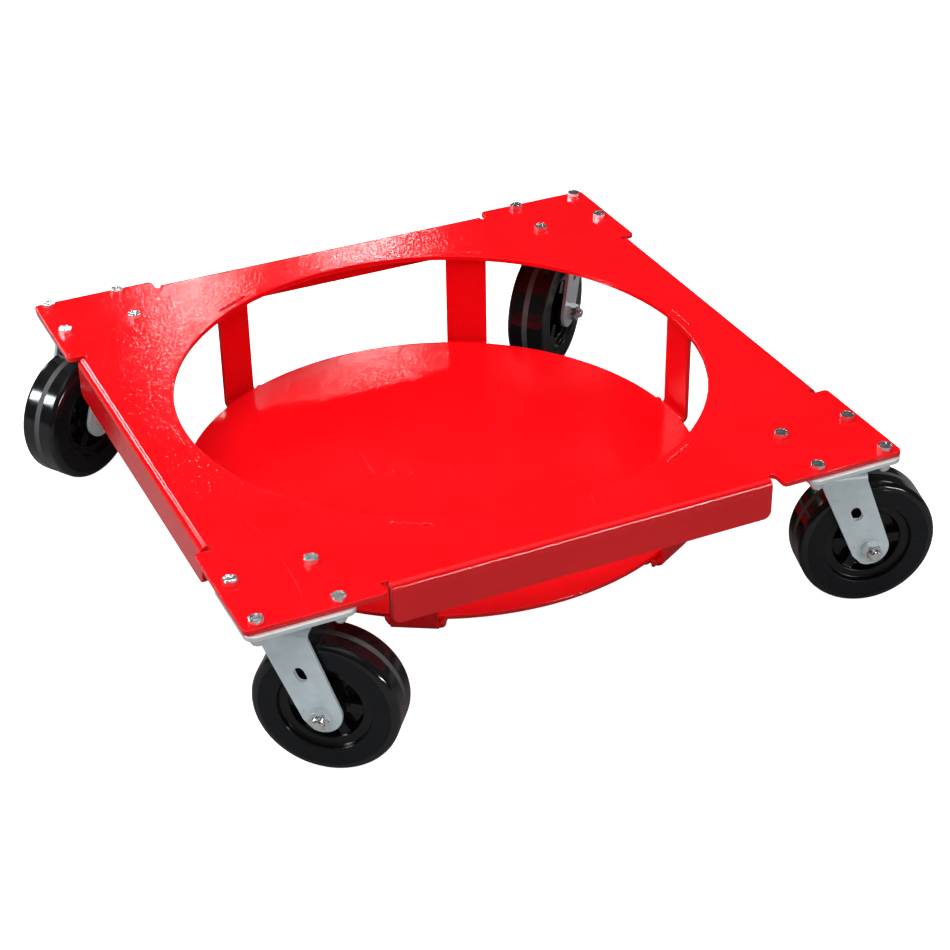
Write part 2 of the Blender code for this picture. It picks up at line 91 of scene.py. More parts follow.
# Mounting plate and ball race
PLATE_THICKNESS = 6 * MM
PLATE_CORNER_RADIUS = 11 * MM
PLATE_EDGE = 1.1 * MM
SLOT_TRAVEL = 9.2 * MM
RACE_BOSS_RADIUS = 40 * MM

# Bolts
BOLT_RADIUS = 4.76 * MM
BOLT_FLATS = 14.3 * MM
BOLT_HEAD = 5.4 * MM
BOLT_NUT = 11.5 * MM
BOLT_PITCH = 1.59 * MM
AXLE_RADIUS = 6.35 * MM
AXLE_FLATS = 19.05 * MM
AXLE_HEAD = 8 * MM
AXLE_PITCH = 1.95 * MM

# Fork
FORK_THICKNESS = 5 * MM
FORK_BEND_RADIUS = 3 * MM
FORK_EDGE = 0.7 * MM
LEG_END_RADIUS = 21 * MM
LEG_SLOT_LENGTH = 19 * MM
LEG_SLOT_WIDTH = 12.5 * MM
LEG_SLOT_SHARE = 0.48

# Wheel
WHEEL_RADIUS = 76.2 * MM
WHEEL_HALF = 25.4 * MM
SHOULDER = 7.5 * MM
BAND_HALF = 3.4 * MM                  # ground band round the middle of the tread
RECESS_RADIUS = 49.5 * MM
RING_RADIUS = 39 * MM
RING_DEPTH = 6 * MM
WEB_HALF = 8 * MM
RIB_COUNT = 6
RIB_WIDTH = 11 * MM
RIB_DROP = 2.5 * MM                   # rib tops below the ring
HUB_RADIUS = 20 * MM
HUB_HALF = 27 * MM
WHEEL_BORE = 14.6 * MM

# Stage
FLOOR_HALF = 30.0                     # the floor's half side, in metres
FLOOR_SEEN = (0.9, 0.9, 0.9, 1)
FLOOR_SOFT = (0.28, 0.28, 0.28, 1)
FLOOR_MIRRORED = (0.26, 0.26, 0.26, 1)
FLOOR_GLOW = 1.0                      # emission, for the eye only
WORLD_FILL = 0.2                      # the world's strength outside reflections
WORLD_LOW, WORLD_HIGH = 0.035, 0.7    # its strength in reflections, low down and overhead
WORLD_RISE = (0.72, 0.97)             # between these heights on the unit sphere it brightens

CORNERS = ("front_left", "front_right", "rear_right", "rear_left")
JOINTS = {joint["name"]: joint for joint in frame["joints"]}
DECK_LOW, DECK_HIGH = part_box("deck")
DECK_TOP = DECK_HIGH.z
FLOOR = CAD_LOW.z


# Outlines, as lists of (x, y) points, anticlockwise

def arc(centre, radius, start, end, steps):
    angles = [math.radians(start + (end - start) * i / steps) for i in range(steps + 1)]
    return [(centre[0] + radius * math.cos(a), centre[1] + radius * math.sin(a)) for a in angles]


def circle(centre, radius, steps):
    return arc(centre, radius, 0, 360, steps)[:-1]


def rounded_rectangle(length, width, radius, steps):
    points = []
    for i, (sx, sy) in enumerate(((1, 1), (-1, 1), (-1, -1), (1, -1))):
        centre = (sx * (length / 2 - radius), sy * (width / 2 - radius))
        points += arc(centre, radius, 90 * i, 90 * i + 90, steps)
    return points


def oblong(centre, travel, radius, heading, steps):
    """A slot with round ends, travel long between its end centres."""
    points = []
    for side in (1, -1):
        reach = side * travel / 2
        end = (centre[0] + reach * math.cos(heading), centre[1] + reach * math.sin(heading))
        start = math.degrees(heading) - 90 + (0 if side > 0 else 180)
        points += arc(end, radius, start, start + 180, steps)
    return points


def turned(points, degrees):
    c, s = math.cos(math.radians(degrees)), math.sin(math.radians(degrees))
    return [(c * x - s * y, s * x + c * y) for x, y in points]


def inset(loop, distance):
    """The loop moved to its left by a distance, with mitred corners."""
    moved = []
    for i, (x, y) in enumerate(loop):
        before = Vector(loop[i]) - Vector(loop[i - 1])
        after = Vector(loop[(i + 1) % len(loop)]) - Vector(loop[i])
        n1 = Vector((-before.y, before.x)).normalized()
        n2 = Vector((-after.y, after.x)).normalized()
        lean = (n1 + n2) * distance / max(0.3, 1 + n1.dot(n2))
        moved.append((x + lean.x, y + lean.y))
    return moved


# Meshes

def loft(bm, rows, closed=False, caps=False, material=0):
    """Quads between neighbouring loops of points. caps closes both ends."""
    loops = [[bm.verts.new(p) for p in row] for row in rows]
    count = len(loops[0])
    pairs = list(zip(loops, loops[1:]))
    if closed:
        pairs.append((loops[-1], loops[0]))
    for low, high in pairs:
        for i in range(count):
            j = (i + 1) % count
            bm.faces.new((low[i], low[j], high[j], high[i])).material_index = material
    if caps:
        bm.faces.new(loops[0]).material_index = material
        bm.faces.new(loops[-1]).material_index = material


def lathe(bm, profile, steps, closed=False, caps=False, material=0):
    """A profile of (radius, z) turned about z."""
    rows = [[(x, y, z) for x, y in circle((0, 0), r, steps)] for r, z in profile]
    loft(bm, rows, closed, caps, material)


def rounded_sheet(bm, outline, holes, low, high, edge, steps=3):
    """A flat sheet with holes, and every cut edge rounded."""
    loops = [outline] + [list(reversed(hole)) for hole in holes]
    quarter = [math.pi / 2 * k / steps for k in range(steps + 1)]
    levels = [(low + edge * (1 - math.cos(a)), edge * (1 - math.sin(a))) for a in quarter]
    levels += [(high - edge * (1 - math.cos(a)), edge * (1 - math.sin(a))) for a in reversed(quarter)]
    ends = {0: [], len(levels) - 1: []}
    for loop in loops:
        rows = []
        for z, shift in levels:
            rows.append([bm.verts.new((x, y, z)) for x, y in inset(loop, shift)])
        for below, above in zip(rows, rows[1:]):
            for i in range(len(loop)):
                j = (i + 1) % len(loop)
                bm.faces.new((below[i], below[j], above[j], above[i]))
        for k in ends:
            row = rows[k]
            ends[k] += [bm.edges.get((row[i - 1], row[i])) for i in range(len(row))]
    for edges in ends.values():
        bmesh.ops.triangle_fill(bm, use_beauty=True, use_dissolve=False, edges=edges)


def fold(bm, heading, line, half_length, inner, thickness, top, steps):
    """Bend what lies past a line down through a right angle. heading is the outward direction."""
    turn = Matrix.Rotation(heading - math.pi / 2, 3, "Z")
    back = turn.transposed()
    neutral, outer = inner + thickness / 2, inner + thickness
    bend = neutral * math.pi / 2
    for k in range(steps + 1):
        at = line + bend * k / steps
        bmesh.ops.bisect_plane(bm, geom=bm.verts[:] + bm.edges[:] + bm.faces[:], dist=1e-7,
                               plane_co=turn @ Vector((0, at, 0)), plane_no=turn @ Vector((0, 1, 0)))
    for v in bm.verts:
        p = back @ v.co
        past = p.y - line
        if past <= 0 or abs(p.x) > half_length:
            continue
        angle = min(past, bend) / neutral
        radius = outer - (top - p.z)
        drop = max(0, past - bend)
        y = line + radius * math.sin(angle)
        z = top - outer + radius * math.cos(angle) - drop
        v.co = turn @ Vector((p.x, y, z))


def hex_rows(flats, low, high, chamfer_low, chamfer_high, steps=48):
    """Rows of a hexagon whose corners are cut back by a shallow cone at either end."""
    apothem, corner = flats / 2, flats / math.sqrt(3)
    cone = math.tan(math.radians(30))
    flat_edge = apothem * 1.05
    cut = (corner - flat_edge) * cone
    heights = [low + cut * k / 4 for k in range(5)] if chamfer_low else [low]
    heights += [high - cut * k / 4 for k in range(4, -1, -1)] if chamfer_high else [high]
    rows = []
    for z in heights:
        limit = corner
        if chamfer_low:
            limit = min(limit, flat_edge + (z - low) / cone)
        if chamfer_high:
            limit = min(limit, flat_edge + (high - z) / cone)
        row = []
        for i in range(steps):
            a = 2 * math.pi * i / steps
            reach = apothem / math.cos((a % (math.pi / 3)) - math.pi / 6)
            r = min(reach, limit)
            row.append((r * math.cos(a), r * math.sin(a), z))
        rows.append(row)
    return rows


def ring_row(radius, z, steps=48):
    return [(x, y, z) for x, y in circle((0, 0), radius, steps)]


def thread_rows(radius, low, high, pitch, steps=48, tip=0.0):
    """Rows of a rod with a helical thread. tip narrows its high end."""
    depth = 0.5 * pitch
    count = max(2, round((high - low) / pitch * 6))
    rows = []
    for k in range(count + 1):
        z = low + (high - low) * k / count
        narrow = tip * max(0, 1 - (high - z) / pitch)
        row = []
        for i in range(steps):
            turn = i / steps
            wave = abs(2 * ((z / pitch - turn) % 1) - 1)
            r = radius - depth * wave - narrow
            row.append((r * math.cos(2 * math.pi * turn), r * math.sin(2 * math.pi * turn), z))
        rows.append(row)
    return rows


def bead(bm, start, end, up, side, width, height, seed, steps=34, across=7):
    """A lumpy weld bead laid along a line, its top towards up."""
    start, end = Vector(start), Vector(end)
    along = (end - start).normalized()
    length = (end - start).length
    rows = []
    for k in range(steps + 1):
        t = k / steps
        ends = min(1, math.sqrt(max(0.0, 1 - (2 * t - 1) ** 8)) + 0.12)
        ripple = 1 + 0.22 * math.sin(t * length / (1.7 * MM) + seed)
        lump = 1 + 0.55 * noise.noise(Vector((t * length / (3.1 * MM), seed, 0)))
        sway = side * 0.35 * MM * noise.noise(Vector((t * length / (6 * MM), seed + 5, 2)))
        centre = start + along * length * t + sway
        row = []
        for i in range(across + 1):
            a = math.pi * i / across
            reach = side * math.cos(a) * width / 2 * ends * (0.8 + 0.2 * lump)
            rise = up * (math.sin(a) * height * ends * ripple * lump)
            row.append(centre + reach + rise)
        row.append(centre - side * width / 3 - up * 0.2 * MM)
        row.append(centre + side * width / 3 - up * 0.2 * MM)
        rows.append(row)
    loft(bm, rows, caps=True)


# Pieces

def finish(bm, name, materials, sharp=35):
    """The mesh of a closed solid, smooth except at edges sharper than an angle in degrees."""
    bmesh.ops.remove_doubles(bm, verts=bm.verts, dist=0.002 * MM)
    bmesh.ops.recalc_face_normals(bm, faces=bm.faces)
    mesh = bpy.data.meshes.new(name)
    bm.to_mesh(mesh)
    bm.free()
    for material in materials:
        mesh.materials.append(material)
    mesh.shade_smooth()
    mesh.set_sharp_from_angle(angle=math.radians(sharp))
    return mesh


def piece(name, mesh, body, stands_for=(), place=Matrix.Identity(4)):
    """Put a mesh in the scene as one named piece that rides on a CAD body."""
    thing = bpy.data.objects.new(name, mesh.copy() if mesh.users else mesh)
    bpy.context.scene.collection.objects.link(thing)
    thing.matrix_world = place
    even = thing.modifiers.new("even_shading", "WEIGHTED_NORMAL")
    even.keep_sharp = True
    even.weight = 100
    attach(thing, body)
    if stands_for:
        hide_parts(*stands_for)
    return thing


# Materials

class Surface:
    """A material with one Principled shader, and short ways to add nodes to it."""

    def __init__(self, name, **values):
        self.material = bpy.data.materials.new(name)
        self.material.use_nodes = True
        self.tree = self.material.node_tree
        self.shader = self.tree.nodes["Principled BSDF"]
        for key, value in values.items():
            self.shader.inputs[key.replace("_", " ")].default_value = value
        self.where = self.tree.nodes.new("ShaderNodeTexCoord").outputs["Object"]

    def node(self, kind, inputs=None, **settings):
        made = self.tree.nodes.new(kind)
        for key, value in settings.items():
            setattr(made, key, value)
        for key, value in (inputs or {}).items():
            if hasattr(value, "is_linked"):
                self.tree.links.new(value, made.inputs[key])
            else:
                made.inputs[key].default_value = value
        return made

    def stretched(self, scale):
        return self.node("ShaderNodeMapping", {"Vector": self.where, "Scale": scale}).outputs["Vector"]

    def noise(self, scale, detail=2.0, roughness=0.5, where=None):
        inputs = {"Vector": where or self.where, "Scale": scale, "Detail": detail, "Roughness": roughness}
        return self.node("ShaderNodeTexNoise", inputs).outputs["Fac"]

    def remap(self, value, low, high, to_low, to_high):
        inputs = {"Value": value, "From Min": low, "From Max": high, "To Min": to_low, "To Max": to_high}
        return self.node("ShaderNodeMapRange", inputs).outputs["Result"]

    def blend(self, factor, first, second):
        """A colour that runs from first to second."""
        mix = self.node("ShaderNodeMix", data_type="RGBA")
        for socket, value in zip((mix.inputs[0], mix.inputs[6], mix.inputs[7]), (factor, first, second)):
            if hasattr(value, "is_linked"):
                self.tree.links.new(value, socket)
            else:
                socket.default_value = value
        return mix.outputs[2]

    def drive(self, socket, value):
        self.tree.links.new(value, self.shader.inputs[socket])

    def bumps(self, *layers):
        """Add bumps from (height, distance in metres) layers, one on another."""
        normal = None
        for height, distance in layers:
            inputs = {"Height": height, "Distance": distance, "Strength": 1.0}
            if normal:
                inputs["Normal"] = normal
            normal = self.node("ShaderNodeBump", inputs).outputs["Normal"]
        self.drive("Normal", normal)


def powder_coat(name, peel, roughness=0.085):
    """Glossy red powder coat: orange peel, slight cloudiness, dust under the skin, hairline scratches."""
    s = Surface(name, IOR=1.5, Specular_IOR_Level=0.5)
    cloud = s.remap(s.noise(9, 3), 0.35, 0.65, 0, 1)
    red = s.blend(cloud, (0.83, 0.0028, 0.0062, 1), (0.9, 0.0038, 0.008, 1))
    dust = s.remap(s.noise(620, 1), 0.735, 0.79, 0, 1)
    red = s.blend(dust, red, (0.28, 0.004, 0.005, 1))
    line = s.node("ShaderNodeMath", {0: s.noise(5, 0.5, 0.5, s.stretched((1, 0.35, 1))), 1: 0.5},
                  operation="SUBTRACT").outputs[0]
    near = s.node("ShaderNodeMath", {0: line}, operation="ABSOLUTE").outputs[0]
    scratch = s.remap(near, 0.0, 0.0009, 0.2, 0)
    some = s.remap(s.noise(11, 1), 0.6, 0.66, 0, 1)
    mark = s.node("ShaderNodeMath", {0: scratch, 1: some}, operation="MULTIPLY").outputs[0]
    s.drive("Base Color", s.blend(mark, red, (0.85, 0.12, 0.12, 1)))
    s.drive("Roughness", s.remap(s.noise(40, 3), 0.3, 0.7, roughness * 0.8, roughness * 1.3))
    s.bumps((s.noise(300, 1, 0.4), peel), (s.noise(560, 0, 0.4), 0.4 * peel))
    return s.material


def zinc_plate(name, bright, roughness, tint, metallic, dents=0.02 * MM):
    """Zinc plate on pressed steel: cloudy, satin, faintly blue, with fine rolling marks."""
    s = Surface(name, Metallic=metallic)
    cloud = s.remap(s.noise(55, 4, 0.6), 0.3, 0.7, 0, 1)
    cool = tuple(bright * c for c in tint) + (1,)
    dull = tuple(bright * 0.87 * c for c in tint) + (1,)
    s.drive("Base Color", s.blend(cloud, dull, cool))
    grain = s.noise(420, 3, 0.6, s.stretched((1, 1, 0.25)))
    s.drive("Roughness", s.remap(grain, 0.25, 0.75, roughness * 0.75, roughness * 1.3))
    s.bumps((grain, 0.006 * MM), (s.noise(260, 2), dents))
    return s.material


def phenolic(name, roughness, specular, grey, bump=0.012 * MM):
    """Moulded black phenolic with faint flow clouds."""
    s = Surface(name, Specular_IOR_Level=specular)
    cloud = s.remap(s.noise(60, 4, 0.6), 0.3, 0.7, 0, 1)
    light = tuple(1.5 * c for c in grey) + (1,)
    s.drive("Base Color", s.blend(cloud, tuple(grey) + (1,), light))
    s.drive("Roughness", s.remap(s.noise(90, 4, 0.6), 0.3, 0.7, roughness * 0.8, roughness * 1.35))
    s.bumps((s.noise(260, 2), bump))
    return s.material


def ground_band(name):
    """Matt grey band where the mould flash was ground off, streaked along the tread."""
    s = Surface(name, Specular_IOR_Level=0.25)
    streak = s.noise(30, 5, 0.65)
    s.drive("Base Color", s.blend(streak, (0.035, 0.036, 0.036, 1), (0.15, 0.15, 0.148, 1)))
    s.drive("Roughness", s.remap(s.noise(300, 3), 0.3, 0.7, 0.5, 0.75))
    s.bumps((s.noise(700, 3), 0.05 * MM))
    return s.material


RED = powder_coat("deck_powder_coat", 0.2 * MM, 0.06)
RED_BEAD = powder_coat("bead_powder_coat", 0.5 * MM, 0.09)
RED_PAN = powder_coat("pan_powder_coat", 0.2 * MM, 0.06)
RED_STRAP = powder_coat("strap_powder_coat", 0.3 * MM, 0.12)
ZINC_PLATE = zinc_plate("plate_zinc", 0.92, 0.4, (0.95, 0.99, 1.0), 0.5)
ZINC_FORK = zinc_plate("fork_zinc", 0.98, 0.34, (0.84, 0.96, 1.0), 0.3)
ZINC_BOLT = zinc_plate("bolt_zinc", 0.93, 0.13, (0.98, 0.99, 1.0), 0.95, 0.9 * MM)
STEEL = zinc_plate("race_steel", 0.6, 0.3, (1.0, 1.0, 1.0), 0.9)
CAGE = zinc_plate("bearing_steel", 0.5, 0.34, (1.0, 0.97, 0.9), 0.9)
GLOSS = phenolic("phenolic_gloss", 0.11, 0.5, (0.006, 0.006, 0.007))
SATIN = phenolic("phenolic_satin", 0.34, 0.22, (0.006, 0.0065, 0.008), 0.03 * MM)
DEEP = phenolic("phenolic_recess", 0.18, 0.35, (0.004, 0.004, 0.004))
BAND = ground_band("phenolic_ground_band")
NYLON = phenolic("nylon_insert", 0.45, 0.3, (0.25, 0.26, 0.27))


# Deck

def plates():
    """Each corner's mounting plate as (corner, middle, lowest, highest)."""
    for corner in CORNERS:
        low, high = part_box(f"caster_plate_{corner}")
        yield corner, (low + high) / 2, low, high


def bolt_centres(corner):
    for i in range(1, 5):
        low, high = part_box(f"mounting_bolt_{corner}_{i}")
        yield i, (low + high) / 2, low, high


def flange_pattern():
    """One side of the flat deck before folding: half a pad, flange and half a pad."""
    half = DECK_HIGH.x
    neutral, outer = BEND_RADIUS + DECK_THICKNESS / 2, BEND_RADIUS + DECK_THICKNESS
    line = -half + FLANGE_SETBACK + outer
    foot = line - neutral * math.pi / 2 - (DECK_TOP - DECK_LOW.z - outer)
    pad_end, slot = -half + PAD_LENGTH, RELIEF_WIDTH / 2
    start = pad_end + RELIEF_WIDTH
    left = arc((-half + DECK_CORNER_RADIUS, -half + DECK_CORNER_RADIUS), DECK_CORNER_RADIUS, 180, 270, 8)
    left += arc((pad_end - PAD_END_RADIUS, -half + PAD_END_RADIUS), PAD_END_RADIUS, -90, 0, 10)
    left += arc((pad_end + slot, line), slot, 180, 0, 14)
    r = FLANGE_CORNER_RADIUS
    left += arc((start + r, foot + r), r, 180, 270, 10)
    return left, [(-x, y) for x, y in reversed(left[9:])], -line, -start


def make_deck():
    left, right, line, reach = flange_pattern()
    outline = []
    for k in range(4):
        outline += turned(left + right, 90 * k)
    holes = [circle((0, 0), WELL_RADIUS, 240)]
    for corner in CORNERS:
        holes += [circle((c.x, c.y), HOLE_RADIUS, 24) for _, c, _, _ in bolt_centres(corner)]
    bm = bmesh.new()
    rounded_sheet(bm, outline, holes, DECK_TOP - DECK_THICKNESS, DECK_TOP, DECK_EDGE)
    for k in range(4):
        fold(bm, math.pi / 2 * k, line, reach + RELIEF_WIDTH / 2, BEND_RADIUS, DECK_THICKNESS, DECK_TOP, 10)
    piece("deck_sheet", finish(bm, "deck_sheet", [RED]), "chassis", ["deck"])


# Pan and straps

def make_pan():
    low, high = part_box("drum_pan")
    bm = bmesh.new()
    rounded_sheet(bm, circle((0, 0), high.x, 240), [], low.z, high.z, PAN_EDGE)
    piece("pan_disc", finish(bm, "pan_disc", [RED_PAN]), "chassis", ["drum_pan"])


def strap_rows(inner, top, tip):
    """The strap's inner face as (distance from the middle, height, outward normal)."""
    lean, r = STRAP_FOOT_LEAN, STRAP_BEND_RADIUS
    foot_start = inner - r - r * math.sin(lean)
    foot_low = tip[1] - (foot_start - tip[0]) * math.tan(lean)
    centre = (inner - r, foot_low + r * math.cos(lean))
    rows = [(inner, top, (1, 0))]
    for k in range(13):
        a = -(math.pi / 2 + lean) * k / 12
        normal = (math.cos(a), math.sin(a))
        rows.append((centre[0] + r * normal[0], centre[1] + r * normal[1], normal))
    rows.append((tip[0], tip[1], (-math.sin(lean), -math.cos(lean))))
    return rows


def rounded_section(thickness, width, edge, steps=3):
    """A flat bar's section as (depth from its inner face, place across)."""
    outline = rounded_rectangle(thickness, width, edge, steps)
    return [(x + thickness / 2, y) for x, y in outline]


def make_straps():
    pan_low, pan_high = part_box("drum_pan")
    low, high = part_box("strap_1")
    width = high.y - low.y
    inner = high.x - STRAP_THICKNESS
    top = DECK_TOP - DECK_THICKNESS - 0.1 * MM
    tip = (low.x + STRAP_THICKNESS * math.sin(STRAP_FOOT_LEAN), pan_low.z - 0.3 * MM)
    section = rounded_section(STRAP_THICKNESS, width, STRAP_EDGE)
    for i in range(STRAP_COUNT):
        turn = Matrix.Rotation(2 * math.pi / STRAP_COUNT * i, 4, "Z")
        bm = bmesh.new()
        rows = []
        for r, z, (nr, nz) in strap_rows(inner, top, tip):
            rows.append([(r + nr * depth, across, z + nz * depth) for depth, across in section])
        loft(bm, rows, caps=True)
        piece(f"strap_bar_{i + 1}", finish(bm, "strap_bar", [RED_STRAP]), "chassis",
              [f"strap_{i + 1}"], turn)
        make_strap_welds(i, turn, inner, width / 2, top, (tip[0], pan_high.x), pan_low.z)


def make_strap_welds(i, turn, inner, half, top, foot, pan_under):
    """The dressed bead on the deck, fillets under it, and fillets beside the foot."""
    radial, across, up = Vector((1, 0, 0)), Vector((0, 1, 0)), Vector((0, 0, 1))
    outer = inner + STRAP_THICKNESS
    bm = bmesh.new()
    z, r = DECK_TOP - 0.1 * MM, outer - 0.35 * STRAP_THICKNESS
    bead(bm, (r, -half * BEAD_SHARE, z), (r, half * BEAD_SHARE, z), up, radial,
         BEAD_WIDTH, BEAD_HEIGHT, 3.7 * i + 1, 60)
    piece(f"strap_top_weld_{i + 1}", finish(bm, "top_weld", [RED_BEAD], 60), "chassis",
          (), turn)
    bm = bmesh.new()
    z = top + 0.1 * MM
    bead(bm, (outer, -half, z), (outer, half, z), radial - up, radial + up,
         BEAD_WIDTH, BEAD_HEIGHT, 3.7 * i + 2)
    for side in (-1, 1):
        lean, slope = across * side - up, across * side + up
        bead(bm, (inner + 0.5 * MM, side * half, z), (outer, side * half, z), lean, slope,
             BEAD_WIDTH, BEAD_HEIGHT, 3.7 * i + 3 + side, 12)
        z_foot = pan_under - 1.5 * MM
        bead(bm, (foot[0] + 6 * MM, side * half, z_foot), (foot[1] + 5 * MM, side * half, z_foot),
             lean.normalized(), slope.normalized(), FOOT_WELD * 2, FOOT_WELD * 0.85, 3.7 * i + 7 + side)
    piece(f"strap_under_weld_{i + 1}", finish(bm, "under_weld", [RED_STRAP], 60), "chassis",
          (), turn)


# Casters

def slot_lean(c, middle, low, high):
    """An oblong hole's heading: it points to the plate's corner, a little flatter."""
    dx, dy = c.x - middle.x, c.y - middle.y
    lean = math.atan2(abs(dy) - 0.46 * (high.y - low.y), 0.47 * (high.x - low.x) - abs(dx))
    return lean if dx * dy > 0 else -lean


def make_plates():
    for corner, middle, low, high in plates():
        outline = rounded_rectangle(high.x - low.x, high.y - low.y, PLATE_CORNER_RADIUS, 12)
        bolts = [c for _, c, _, _ in bolt_centres(corner)]
        slots = []
        for c in bolts:
            heading = slot_lean(c, middle, low, high)
            slots.append(oblong((c.x - middle.x, c.y - middle.y), SLOT_TRAVEL, HOLE_RADIUS, heading, 10))
        bm = bmesh.new()
        rounded_sheet(bm, outline, slots, high.z - PLATE_THICKNESS, high.z, PLATE_EDGE)
        boss = high.z - PLATE_THICKNESS - low.z
        lathe(bm, [(RACE_BOSS_RADIUS + 2 * MM, low.z + boss + 0.5 * MM),
                   (RACE_BOSS_RADIUS + 1 * MM, low.z + boss * 0.8),
                   (RACE_BOSS_RADIUS, low.z + boss * 0.35), (RACE_BOSS_RADIUS - 0.8 * MM, low.z + 0.1 * MM),
                   (RACE_BOSS_RADIUS - 2 * MM, low.z), (12 * MM, low.z), (12 * MM, low.z + boss + 0.5 * MM)],
              64, closed=True)
        piece(f"mounting_plate_{corner}", finish(bm, "mounting_plate", [ZINC_PLATE]), "chassis",
              [f"caster_plate_{corner}"], Matrix.Translation((middle.x, middle.y, 0)))


def make_races():
    """The pressed dish of the swivel, with a groove where its two halves turn on each other."""
    for corner in CORNERS:
        low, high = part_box(f"ball_race_{corner}")
        middle, radius, height = (low + high) / 2, (high.x - low.x) / 2, high.z - low.z
        profile = [(24 * MM, high.z), (radius - 1.6 * MM, high.z)]
        profile += [(radius - 0.6 * MM, high.z - 0.5 * MM), (radius, high.z - 1.2 * MM)]
        profile += [(radius, high.z - 1.7 * MM), (radius - 1.2 * MM, high.z - 1.9 * MM)]
        profile += [(radius - 1.2 * MM, high.z - 2.4 * MM), (radius - 0.4 * MM, high.z - 2.6 * MM)]
        for k in range(7):
            a = math.pi / 2 * k / 6
            profile.append((radius - 0.6 * MM - 5 * MM * (1 - math.cos(a)),
                            high.z - 2.7 * MM - (height - 2.7 * MM) * math.sin(a)))
        profile.append((24 * MM, low.z))
        bm = bmesh.new()
        lathe(bm, profile, 72, closed=True)
        piece(f"race_dish_{corner}", finish(bm, "race_dish", [STEEL]), "chassis",
              [f"ball_race_{corner}"], Matrix.Translation((middle.x, middle.y, 0)))


def make_kingpins():
    """A riveted pin: a domed tail under the fork and a flat head sunk in the plate."""
    for corner in CORNERS:
        low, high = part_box(f"kingpin_{corner}")
        middle, radius = (low + high) / 2, (high.x - low.x) / 2
        shank = 8 * MM
        dome = 6 * MM
        profile = [(0.5 * MM, low.z)]
        for k in range(1, 9):
            a = math.pi / 2 * k / 8
            profile.append((radius * math.sin(a), low.z + dome * (1 - math.cos(a))))
        profile += [(shank, low.z + dome), (shank, high.z - 3.5 * MM), (radius - 0.5 * MM, high.z - 3.5 * MM),
                    (radius, high.z - 3 * MM), (radius, high.z - 0.5 * MM), (radius - 0.5 * MM, high.z)]
        bm = bmesh.new()
        lathe(bm, profile, 48, caps=True)
        piece(f"kingpin_rivet_{corner}", finish(bm, "kingpin_rivet", [STEEL]), "chassis",
              [f"kingpin_{corner}"], Matrix.Translation((middle.x, middle.y, 0)))


def make_mounting_bolts():
    """Each bolt, and its lock nut with a nylon ring, as two pieces. All turned by hand, so none match."""
    draw = random.Random(7)
    for corner, _, plate_low, plate_high in plates():
        for i, c, low, high in bolt_centres(corner):
            name = f"{corner}_{i}"
            place = Matrix.Translation((c.x, c.y, 0))
            head_low = high.z - BOLT_HEAD
            nut_low = high.z - BOLT_HEAD - DECK_THICKNESS - PLATE_THICKNESS - 0.9 * MM - BOLT_NUT
            bm = bmesh.new()
            tail = thread_rows(BOLT_RADIUS, nut_low + 0.5 * MM, low.z, BOLT_PITCH)
            tail = [ring_row(BOLT_RADIUS * 0.8, low.z)] + list(reversed(tail))
            dish = [ring_row(BOLT_FLATS * 0.43, high.z), ring_row(BOLT_FLATS * 0.41, high.z - 0.2 * MM),
                    ring_row(BOLT_FLATS * 0.2, high.z - 0.3 * MM)]
            head = hex_rows(BOLT_FLATS, head_low, high.z, False, True)
            rows = tail + [ring_row(BOLT_RADIUS, head_low)] + head
            loft(bm, rows + dish, caps=True)
            turn = Matrix.Rotation(draw.uniform(0, math.pi / 3), 4, "Z")
            piece(f"hex_bolt_{name}", finish(bm, "hex_bolt", [ZINC_BOLT], 28), "chassis",
                  [f"mounting_bolt_{corner}_{i}"], place @ turn)
            make_lock_nut(name, place @ Matrix.Rotation(draw.uniform(0, math.pi / 3), 4, "Z"), nut_low)


def make_lock_nut(name, place, low):
    """Hexagon against the plate, round collar below it, and the nylon ring inside the collar."""
    high, collar = low + BOLT_NUT, 3.2 * MM
    r = BOLT_FLATS / 2 - 0.5 * MM
    bore = BOLT_RADIUS + 0.1 * MM
    rows = [ring_row(bore, high), *reversed(hex_rows(BOLT_FLATS, low + collar, high, True, True))]
    rows += [ring_row(r, low + collar - 0.4 * MM), ring_row(r, low + 1.4 * MM), ring_row(r - 0.4 * MM, low + 0.5 * MM),
             ring_row(r - 1.2 * MM, low), ring_row(r - 1.8 * MM, low + 0.1 * MM), ring_row(r - 1.9 * MM, low + 0.9 * MM),
             ring_row(bore, low + 0.9 * MM)]
    bm = bmesh.new()
    loft(bm, rows, closed=True)
    piece(f"lock_nut_{name}", finish(bm, "lock_nut", [ZINC_BOLT], 28), "chassis", (), place)
    bm = bmesh.new()
    lathe(bm, [(bore, low + 0.95 * MM), (bore, low + 0.45 * MM), (bore + 0.3 * MM, low + 0.3 * MM),
               (r - 2.1 * MM, low + 0.3 * MM), (r - 2.0 * MM, low + 0.95 * MM)], 32, closed=True)
    piece(f"nut_ring_{name}", finish(bm, "nut_ring", [NYLON]), "chassis", (), place)


